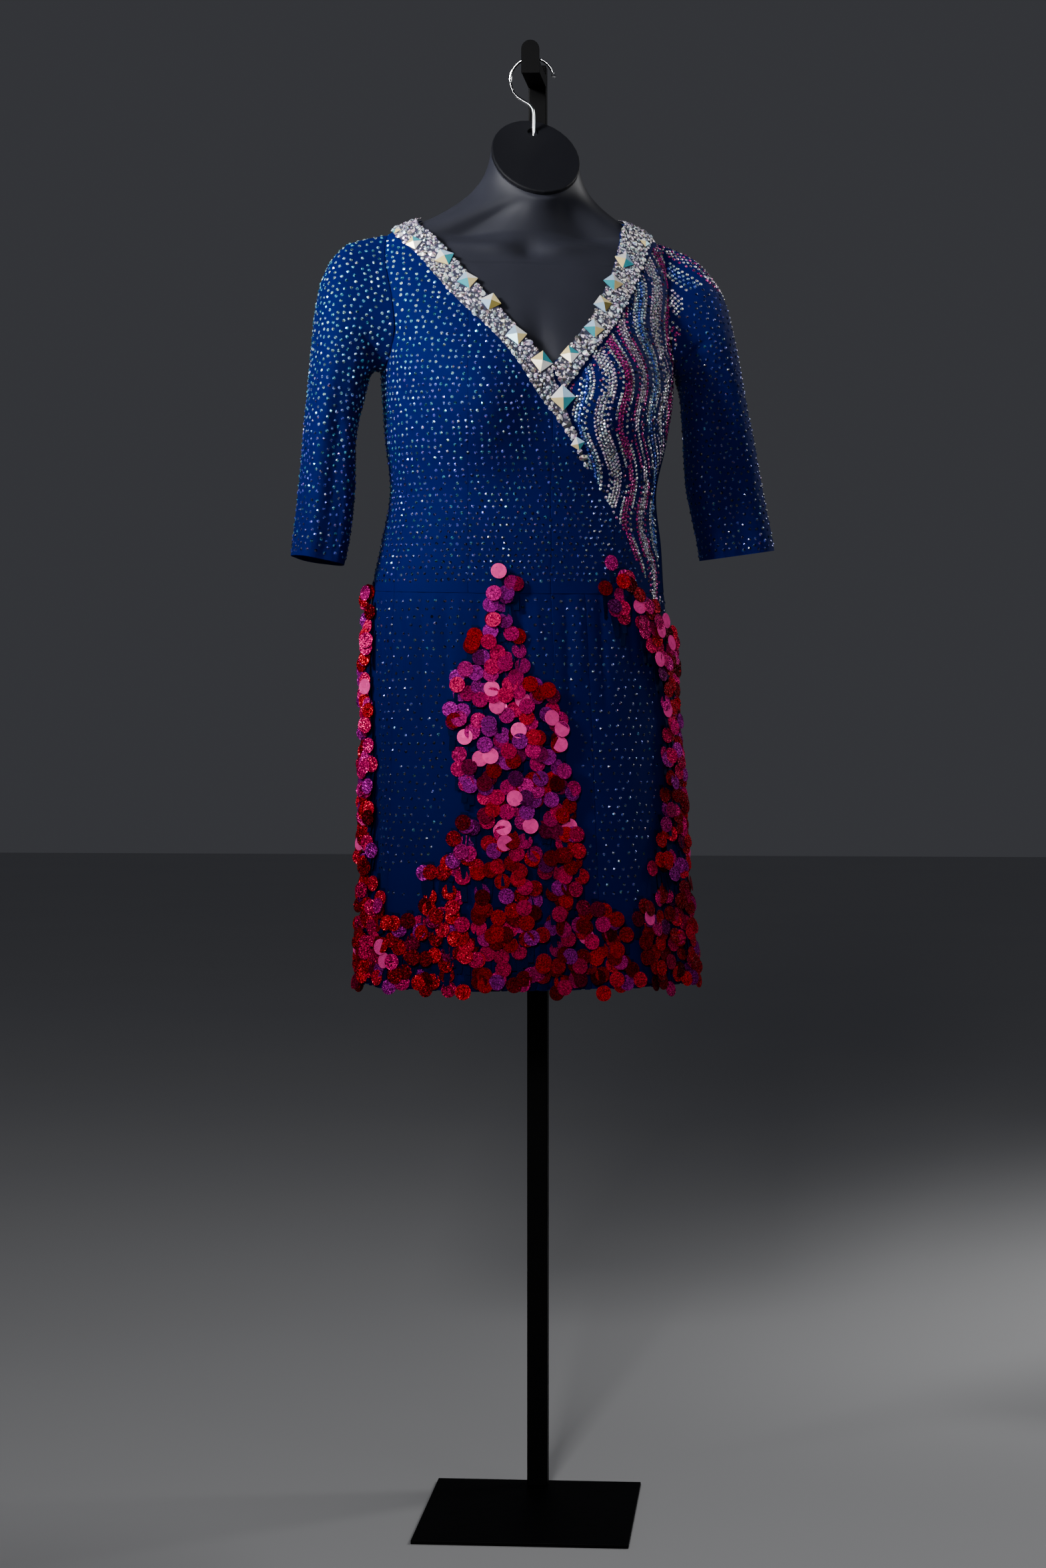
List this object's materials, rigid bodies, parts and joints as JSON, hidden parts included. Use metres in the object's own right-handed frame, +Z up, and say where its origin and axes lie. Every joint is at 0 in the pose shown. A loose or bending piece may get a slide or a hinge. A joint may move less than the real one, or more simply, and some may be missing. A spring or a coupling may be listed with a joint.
{
  "type": "salsa dance dress on a limbless hanging dress form with post stand",
  "caption": "Short flared-hem dance dress with a wrap V neck, elbow sleeves and disc fringe, worn by a limbless form that hangs by a hook from a post stand.",
  "frame": {"origin": "centre of the base plate's underside, on the floor", "axes": "+Z up along the post, -Y the side that the dress faces, turned about 17 degrees towards +X, +X the wearer's left"},
  "size_m": [0.5708, 0.3467, 1.781],
  "materials": {
    "blue_cloth": "soft sheen stretch knit",
    "disc_strips": "glitter discs on blue strips",
    "jewelled_band": "set with faceted stones",
    "black_form": "satin",
    "black_powder_coat": "fine powder coat",
    "chrome": "polished"
  },
  "bodies": {
    "root": {"bodice_centre_front_left": "blue_cloth", "bodice_centre_front_right": "blue_cloth", "bodice_side_front_left": "blue_cloth", "bodice_side_front_right": "blue_cloth", "bodice_back_left": "blue_cloth", "bodice_back_right": "blue_cloth", "sleeve_left": "blue_cloth", "sleeve_right": "blue_cloth", "skirt_front_centre": "blue_cloth", "skirt_front_left": "blue_cloth", "skirt_front_right": "blue_cloth", "skirt_back_left": "blue_cloth", "skirt_back_right": "blue_cloth", "neck_band_left": "jewelled_band", "neck_band_right": "jewelled_band", "strips_centre_1": "disc_strips", "strips_centre_2": "disc_strips", "strips_centre_3": "disc_strips", "strips_centre_4": "disc_strips", "strips_centre_5": "disc_strips", "strips_centre_6": "disc_strips", "strips_centre_7": "disc_strips", "strips_centre_8": "disc_strips", "strips_side_left_1": "disc_strips", "strips_side_left_2": "disc_strips", "strips_side_left_3": "disc_strips", "strips_side_left_4": "disc_strips", "strips_side_left_5": "disc_strips", "strips_side_left_6": "disc_strips", "strips_side_left_7": "disc_strips", "strips_side_right_1": "disc_strips", "strips_side_right_2": "disc_strips", "strips_side_right_3": "disc_strips", "strips_side_right_4": "disc_strips", "strips_side_right_5": "disc_strips", "strips_side_right_6": "disc_strips", "strips_hem_upper": "disc_strips", "strips_hem_lower": "disc_strips", "form_torso": "black_form", "neck_cap": "black_form", "hook_wire": "chrome", "hook_ball": "chrome", "base_plate": "black_powder_coat", "post": "black_powder_coat", "post_extension": "black_powder_coat", "hook_arm": "black_powder_coat", "arm_stop": "black_powder_coat"}
  },
  "joints": []
}
